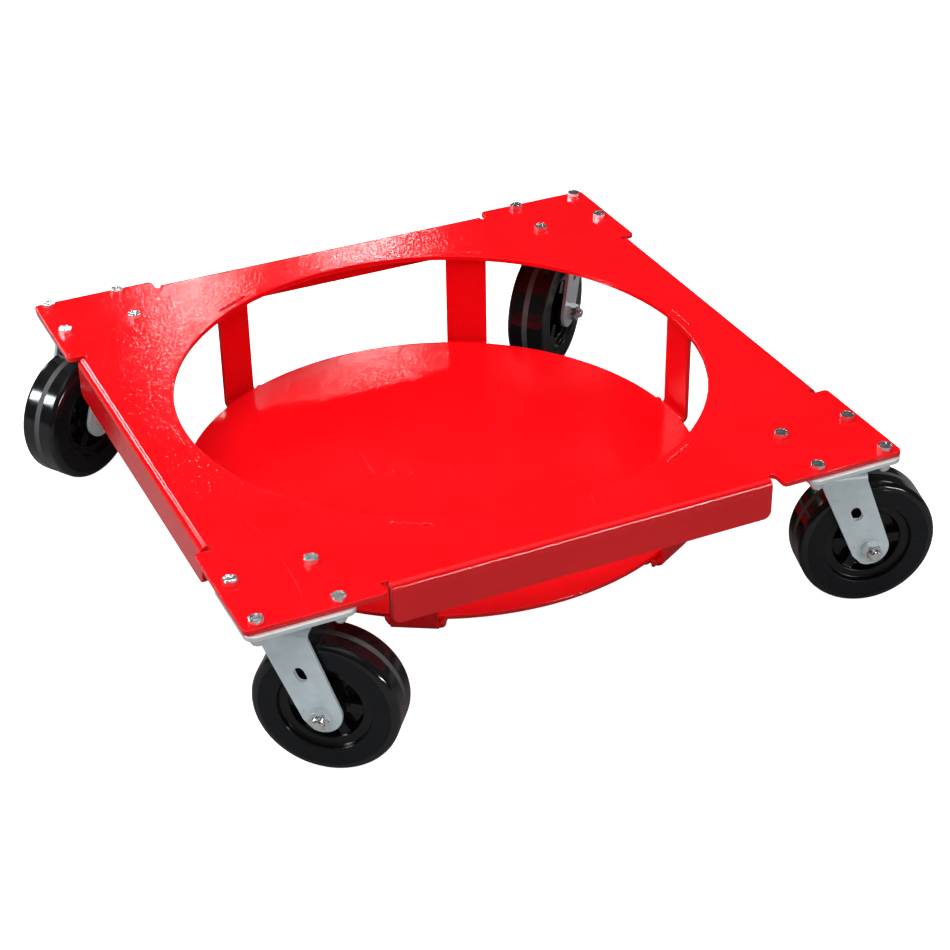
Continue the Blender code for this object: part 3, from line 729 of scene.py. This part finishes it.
def caster_frames():
    """Each caster's frames: the swivel's (x along the trail, origin at z=0) and the axle's (z along it).
    The axle nut is towards the axle frame's -z."""
    for corner in CORNERS:
        swivel = Vector(JOINTS[f"{corner}_swivel"]["pos_m"])
        axle = Vector(JOINTS[f"{corner}_wheel"]["pos_m"])
        trail = Vector((axle.x - swivel.x, axle.y - swivel.y, 0))
        heading = math.atan2(trail.y, trail.x)
        at = Matrix.Translation((swivel.x, swivel.y, 0)) @ Matrix.Rotation(heading, 4, "Z")
        nut_low, nut_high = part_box(f"axle_nut_{corner}")
        nut_side = 1 if (at.inverted() @ ((nut_low + nut_high) / 2)).y > 0 else -1
        lie_down = Matrix.Rotation(math.pi / 2 * nut_side, 4, "X")
        hub = at @ Matrix.Translation((trail.length, 0, axle.z)) @ lie_down
        yield corner, at, hub, trail.length, axle.z


def tangent_point(point, centre, radius, side):
    """Where a line from a point touches a circle, on one side of it."""
    away = Vector(point) - Vector(centre)
    lean = math.acos(radius / away.length)
    a = math.atan2(away.y, away.x) + side * lean
    return centre[0] + radius * math.cos(a), centre[1] + radius * math.sin(a)


CROWN_FRONT = 21 * MM
CROWN_BACK = 31 * MM
FORK_HALF = 34 * MM
KINGPIN_HOLE = 8.4 * MM
AXLE_HOLE = 6.75 * MM


def fork_pattern(trail, axle_height, top):
    """The flat fork before folding: one leg, with its slot and axle hole, and how far out the bend is."""
    outer, neutral = FORK_BEND_RADIUS + FORK_THICKNESS, FORK_BEND_RADIUS + FORK_THICKNESS / 2
    line = FORK_HALF - outer
    leg_top = top - outer
    start = line + neutral * math.pi / 2

    def flat(x, z):
        return x, -(start + leg_top - z)

    axle = (trail, axle_height)
    back, front = (CROWN_BACK, leg_top), (-CROWN_FRONT, leg_top)
    touch = tangent_point(back, axle, LEG_END_RADIUS, -1)
    begin = math.degrees(math.atan2(touch[1] - axle[1], touch[0] - axle[0]))
    front_end = tangent_point(front, axle, LEG_END_RADIUS, 1)
    lean = math.atan2(front_end[1] - front[1], front_end[0] - front[0])
    end = math.degrees(lean) - 50
    leg = [front_end] + list(reversed(arc(axle, LEG_END_RADIUS, begin, end, 22)))
    slot_centre = (LEG_SLOT_SHARE * (trail + (CROWN_BACK - CROWN_FRONT) / 2),
                   leg_top + LEG_SLOT_SHARE * (axle_height - leg_top))
    slot = oblong(slot_centre, LEG_SLOT_LENGTH - LEG_SLOT_WIDTH, LEG_SLOT_WIDTH / 2, lean, 14)
    hole = circle(axle, AXLE_HOLE, 32)
    outline = [(-CROWN_FRONT, -start)] + [flat(*p) for p in leg] + [(CROWN_BACK, -start)]
    return outline, [[flat(*p) for p in reversed(slot)], [flat(*p) for p in reversed(hole)]], line


def make_forks():
    for corner, at, _, trail, axle_height in caster_frames():
        _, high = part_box(f"fork_{corner}")
        leg, holes, line = fork_pattern(trail, axle_height, high.z)
        outline = leg + [(x, -y) for x, y in reversed(leg)]
        holes = holes + [[(x, -y) for x, y in reversed(hole)] for hole in holes]
        holes.append(circle((0, 0), KINGPIN_HOLE, 40))
        bm = bmesh.new()
        rounded_sheet(bm, outline, holes, high.z - FORK_THICKNESS, high.z, FORK_EDGE)
        for heading in (90, 270):
            fold(bm, math.radians(heading), line, 1.0, FORK_BEND_RADIUS, FORK_THICKNESS, high.z, 10)
        piece(f"fork_yoke_{corner}", finish(bm, "fork_yoke", [ZINC_FORK]), f"swivel_{corner}",
              [f"fork_{corner}"], at)


def make_axles():
    """Axle bolt, nut with its thread standing out, sleeve and roller bearing."""
    for corner, _, hub, _, _ in caster_frames():
        body = f"swivel_{corner}"
        gap = 0.3 * MM
        head_low = FORK_HALF + gap
        nut_high, nut_low = -FORK_HALF - gap, -FORK_HALF - gap - 11 * MM
        end = nut_low - 6 * MM
        bm = bmesh.new()
        thread = thread_rows(AXLE_RADIUS, -(nut_high + 4 * MM), -end, AXLE_PITCH, tip=1.4 * MM)
        thread = [[(x, -y, -z) for x, y, z in row] for row in reversed(thread)]
        point = [ring_row(AXLE_RADIUS * 0.35, end), ring_row(AXLE_RADIUS * 0.6, end + 0.05 * MM)]
        dish = [ring_row(AXLE_FLATS * 0.43, head_low + AXLE_HEAD),
                ring_row(AXLE_FLATS * 0.40, head_low + AXLE_HEAD - 0.3 * MM)]
        rows = point + thread + [ring_row(AXLE_RADIUS, nut_high + 6 * MM), ring_row(AXLE_RADIUS, head_low)]
        loft(bm, rows + hex_rows(AXLE_FLATS, head_low, head_low + AXLE_HEAD, False, True) + dish, caps=True)
        piece(f"axle_hex_bolt_{corner}", finish(bm, "axle_hex_bolt", [ZINC_BOLT], 28), body,
              [f"axle_bolt_{corner}"], hub)
        bore = AXLE_RADIUS + 0.1 * MM
        bm = bmesh.new()
        rows = [ring_row(bore, nut_low + 0.8 * MM), ring_row(bore + 0.8 * MM, nut_low)]
        rows += hex_rows(AXLE_FLATS, nut_low, nut_high, True, True)
        rows += [ring_row(bore, nut_high)]
        loft(bm, rows, closed=True)
        piece(f"axle_hex_nut_{corner}", finish(bm, "axle_hex_nut", [ZINC_BOLT], 28), body,
              [f"axle_nut_{corner}"], hub)
        low_r, high_r = 6.65 * MM, 9.65 * MM
        half = 28.7 * MM
        bm = bmesh.new()
        lathe(bm, [(low_r, half), (high_r - 0.4 * MM, half), (high_r, half - 0.4 * MM),
                   (high_r, -half + 0.4 * MM), (high_r - 0.4 * MM, -half), (low_r, -half)], 48, closed=True)
        piece(f"axle_tube_{corner}", finish(bm, "axle_tube", [STEEL]), body,
              [f"axle_sleeve_{corner}"], hub)
        make_bearing(corner, hub, high_r + gap)


def make_bearing(corner, hub, bore):
    """Rollers in a cage: end rings, and rollers standing out between them."""
    rollers, radius, half = 12, bore + 4.6 * MM, 25 * MM
    ring = 3 * MM
    rows = [ring_row(bore, -half, 96), ring_row(radius - 0.3 * MM, -half, 96), ring_row(radius, -half + ring, 96)]
    for z in (-half + ring, half - ring):
        row = []
        for i in range(96):
            a = 2 * math.pi * i / 96
            r = radius - 0.9 * MM * (0.5 - 0.5 * math.cos(a * rollers)) - 0.1 * MM
            row.append((r * math.cos(a), r * math.sin(a), z))
        rows.append(row)
    rows += [ring_row(radius, half - ring, 96), ring_row(radius - 0.3 * MM, half, 96), ring_row(bore, half, 96)]
    bm = bmesh.new()
    loft(bm, rows, closed=True)
    piece(f"bearing_cage_{corner}", finish(bm, "bearing_cage", [CAGE]), f"roller_{corner}",
          [f"roller_bearing_{corner}"], hub)


# Wheels

PER_RIB = 16                           # columns between one rib's edge and the next rib's
COLUMNS = RIB_COUNT * PER_RIB
RIB_COLUMNS = 3


def even_angles():
    return [2 * math.pi * i / COLUMNS for i in range(COLUMNS)]


def rib_angles(radius):
    """Columns gathered so that three of them carry each rib and the rest its pocket."""
    half = math.asin(RIB_WIDTH / 2 / radius)
    draft = 0.7 * MM / radius
    sector = 2 * math.pi / RIB_COUNT
    angles = []
    for k in range(RIB_COUNT):
        middle = sector * k
        angles += [middle - half, middle, middle + half]
        first, last = middle + half + draft, middle + sector - half - draft
        count = PER_RIB - RIB_COLUMNS
        angles += [first + (last - first) * i / (count - 1) for i in range(count)]
    return angles


def wheel_side():
    """Rows from the hub's bore out to the shoulder as (radius, pocket z, rib z, ribbed, material)."""
    ring = WHEEL_HALF - RING_DEPTH
    rib = ring - RIB_DROP
    web = WEB_HALF
    tread, satin, deep = 0, 1, 2
    rows = [(WHEEL_BORE, HUB_HALF, HUB_HALF, False, deep)]
    rows += [(HUB_RADIUS - 2.0 * MM, HUB_HALF, HUB_HALF, False, deep),
             (HUB_RADIUS - 1.0 * MM, HUB_HALF - 0.3 * MM, HUB_HALF - 0.3 * MM, False, deep),
             (HUB_RADIUS - 0.3 * MM, HUB_HALF - 1.2 * MM, HUB_HALF - 1.2 * MM, False, deep)]
    rows += [(HUB_RADIUS + 0.4 * MM, web + 2 * MM, rib + 0.8 * MM, True, deep),
             (HUB_RADIUS + 1.2 * MM, web + 0.6 * MM, rib + 0.1 * MM, True, deep),
             (HUB_RADIUS + 2.4 * MM, web, rib, True, deep), (HUB_RADIUS + 9 * MM, web, rib, True, deep),
             (RING_RADIUS - 4 * MM, web, rib, True, deep),
             (RING_RADIUS - 2.6 * MM, web + 0.6 * MM, rib, True, deep),
             (RING_RADIUS - 1.8 * MM, web + 2 * MM, rib + 0.1 * MM, True, deep),
             (RING_RADIUS - 1.0 * MM, ring - 1.6 * MM, ring - 1.6 * MM, True, deep)]
    rows += [(RING_RADIUS - 0.8 * MM, ring - 1.0 * MM, ring - 1.0 * MM, False, deep),
             (RING_RADIUS - 0.3 * MM, ring - 0.3 * MM, ring - 0.3 * MM, False, deep),
             (RING_RADIUS + 0.6 * MM, ring, ring, False, deep)]
    lip = RECESS_RADIUS
    rows += [(lip - 3.4 * MM, ring, ring, False, deep), (lip - 2.4 * MM, ring + 0.3 * MM, 0, False, deep),
             (lip - 1.9 * MM, ring + 1.2 * MM, 0, False, deep),
             (lip - 1.0 * MM, WHEEL_HALF - 1.2 * MM, 0, False, deep),
             (lip - 0.6 * MM, WHEEL_HALF - 0.5 * MM, 0, False, deep),
             (lip + 0.1 * MM, WHEEL_HALF - 0.1 * MM, 0, False, satin),
             (lip + 0.9 * MM, WHEEL_HALF, 0, False, satin)]
    step = WHEEL_RADIUS - SHOULDER + 0.6 * MM
    rows += [(step - 1.2 * MM, WHEEL_HALF, 0, False, satin), (step - 0.5 * MM, WHEEL_HALF - 0.15 * MM, 0, False, tread),
             (step, WHEEL_HALF - 0.55 * MM, 0, False, tread)]
    for k in range(1, 10):
        a = math.pi / 2 * k / 9
        rows.append((step + (WHEEL_RADIUS - step) * math.sin(a),
                     WHEEL_HALF - 0.55 * MM - (SHOULDER - 0.55 * MM) * (1 - math.cos(a)), 0, False, tread))
    return rows


def make_wheels():
    side = wheel_side()
    band = 3
    middle = [(WHEEL_RADIUS, BAND_HALF + 0.15 * MM, 0, False, 0),
              (WHEEL_RADIUS - 0.15 * MM, BAND_HALF - 0.15 * MM, 0, False, band)]
    path = side + middle + [(r, -z, -rib, ribbed, m) for r, z, rib, ribbed, m in reversed(side + middle)]
    half = len(path) // 2
    bm = bmesh.new()
    loops, marks = [], []
    for k, (r, z, rib, ribbed, mark) in enumerate(path):
        angles = rib_angles(r) if ribbed else even_angles()
        row = []
        for i, a in enumerate(angles):
            level = rib if ribbed and i % PER_RIB < RIB_COLUMNS else z
            row.append(bm.verts.new((r * math.cos(a), r * math.sin(a), level)))
        loops.append(row)
        marks.append(mark)
    for k, low in enumerate(loops):
        following = (k + 1) % len(loops)
        mark = marks[k] if k >= half else marks[following] if following else marks[0]
        for i in range(COLUMNS):
            j = (i + 1) % COLUMNS
            high = loops[following]
            bm.faces.new((low[i], low[j], high[j], high[i])).material_index = mark
    mesh = finish(bm, "caster_wheel", [GLOSS, SATIN, DEEP, BAND], 50)
    for corner, _, hub, _, _ in caster_frames():
        piece(f"caster_wheel_{corner}", mesh, f"roller_{corner}", [f"wheel_{corner}"], hub)


# Stage, lights and camera

def make_floor():
    """A white floor. Light that bounces off it is darker, so paint and black wheels keep their depth."""
    far = FLOOR_HALF
    bm = bmesh.new()
    corners = [(-far, -far), (far, -far), (far, far), (-far, far)]
    bm.faces.new([bm.verts.new((x, y, FLOOR - 0.1 * MM)) for x, y in corners])
    mesh = bpy.data.meshes.new("floor")
    bm.to_mesh(mesh)
    bm.free()
    floor = bpy.data.objects.new("floor", mesh)
    bpy.context.scene.collection.objects.link(floor)
    s = Surface("floor", Roughness=0.9, Specular_IOR_Level=0.1, Emission_Color=(1, 1, 1, 1))
    path = s.node("ShaderNodeLightPath").outputs
    other = s.blend(path["Is Glossy Ray"], FLOOR_SOFT, FLOOR_MIRRORED)
    s.drive("Base Color", s.blend(path["Is Camera Ray"], other, FLOOR_SEEN))
    s.drive("Emission Strength", s.remap(path["Is Camera Ray"], 0, 1, 0, FLOOR_GLOW))
    mesh.materials.append(s.material)


def make_world():
    """Dim and even for soft light. In reflections, dark low down and brighter overhead."""
    world = bpy.data.worlds.new("studio")
    bpy.context.scene.world = world
    world.use_nodes = True
    tree = world.node_tree
    nodes, links = tree.nodes, tree.links
    nodes.clear()
    where = nodes.new("ShaderNodeTexCoord").outputs["Generated"]
    split = nodes.new("ShaderNodeSeparateXYZ")
    links.new(where, split.inputs[0])
    ramp = nodes.new("ShaderNodeMapRange")
    ramp.interpolation_type = "SMOOTHSTEP"
    ramp.inputs["From Min"].default_value = WORLD_RISE[0]
    ramp.inputs["From Max"].default_value = WORLD_RISE[1]
    ramp.inputs["To Min"].default_value = WORLD_LOW
    ramp.inputs["To Max"].default_value = WORLD_HIGH
    links.new(split.outputs["Z"], ramp.inputs["Value"])
    path = nodes.new("ShaderNodeLightPath")
    mix = nodes.new("ShaderNodeMix")
    links.new(path.outputs["Is Glossy Ray"], mix.inputs[0])
    mix.inputs[2].default_value = WORLD_FILL
    links.new(ramp.outputs["Result"], mix.inputs[3])
    back = nodes.new("ShaderNodeBackground")
    back.inputs["Color"].default_value = (1, 1, 1, 1)
    links.new(mix.outputs[0], back.inputs["Strength"])
    out = nodes.new("ShaderNodeOutputWorld")
    links.new(back.outputs[0], out.inputs[0])


def softbox(name, place, target, width, height, power, kinds="both", colour=(1, 1, 1)):
    """A rectangular light that faces a point. kinds limits it to soft light or to glints."""
    data = bpy.data.lights.new(name, "AREA")
    data.shape = "RECTANGLE"
    data.size, data.size_y = width, height
    data.energy = power
    data.color = colour
    light = bpy.data.objects.new(name, data)
    bpy.context.scene.collection.objects.link(light)
    light.location = place
    away = Vector(place) - Vector(target)
    light.rotation_euler = away.to_track_quat("Z", "Y").to_euler()
    light.visible_camera = False
    light.visible_glossy = kinds != "soft"
    light.visible_diffuse = kinds != "glints"
    return light


def far_light(name, azimuth, elevation, distance, width, height, power, kinds="both", colour=(1, 1, 1)):
    """A light seen in reflections. azimuth is from +Y towards +X, in degrees."""
    a, e = math.radians(azimuth), math.radians(elevation)
    middle = Vector((0, 0, DECK_TOP))
    place = middle + distance * Vector((math.sin(a) * math.cos(e), math.cos(a) * math.cos(e), math.sin(e)))
    return softbox(name, place, middle, width, height, power, kinds, colour)


def make_lights():
    softbox("overhead", (-0.9, -0.2, 3.2), (-0.1, 0, 0), 3.2, 3.2, 145, "soft")
    softbox("front_fill", (0.9, -4.4, 1.6), (0, 0, 0), 2.0, 1.0, 30, "soft")
    far_light("window_left", 13, 24, 5.0, 0.14, 0.12, 2.1, "glints")
    far_light("window_right", 20.5, 21.5, 5.0, 0.26, 0.12, 3.4, "glints")
    far_light("side_strip_near", 0, 31, 5.0, 0.4, 1.3, 30, "glints")
    far_light("side_strip_far", -21, 26, 5.0, 0.6, 1.3, 28, "glints")
    far_light("front_strip", 156, 12, 5.0, 1.7, 0.3, 70, "glints")
    far_light("left_window", -75, 27, 4.0, 1.5, 0.8, 30, "both", (0.8, 0.92, 1.0))
    far_light("left_pane", -73, 27, 4.0, 0.35, 0.8, 34, "glints")
    far_light("right_window", 66, 31, 4.0, 0.9, 0.6, 14, "both", (0.9, 0.96, 1.0))


def make_camera():
    """The viewing angle of a product picture, from high on the front left."""
    forward = Vector((0.3585, 0.7693, -0.5288)).normalized()
    right = Vector((0.9035, -0.4284, -0.0108)).normalized()
    up = right.cross(forward)
    data = bpy.data.cameras.new("camera")
    data.sensor_width = 36
    data.lens = 81.18
    data.shift_x = -0.012
    data.clip_start, data.clip_end = 0.05, 100
    camera = bpy.data.objects.new("camera", data)
    bpy.context.scene.collection.objects.link(camera)
    turn = Matrix((right, up, -forward)).transposed().to_4x4()
    camera.matrix_world = Matrix.Translation((-0.8489, -1.9395, 1.304)) @ turn
    bpy.context.scene.camera = camera


bpy.context.scene.view_settings.view_transform = "Standard"
make_deck()
make_pan()
make_straps()
make_plates()
make_races()
make_kingpins()
make_mounting_bolts()
make_forks()
make_axles()
make_wheels()
make_floor()
make_world()
make_lights()
make_camera()
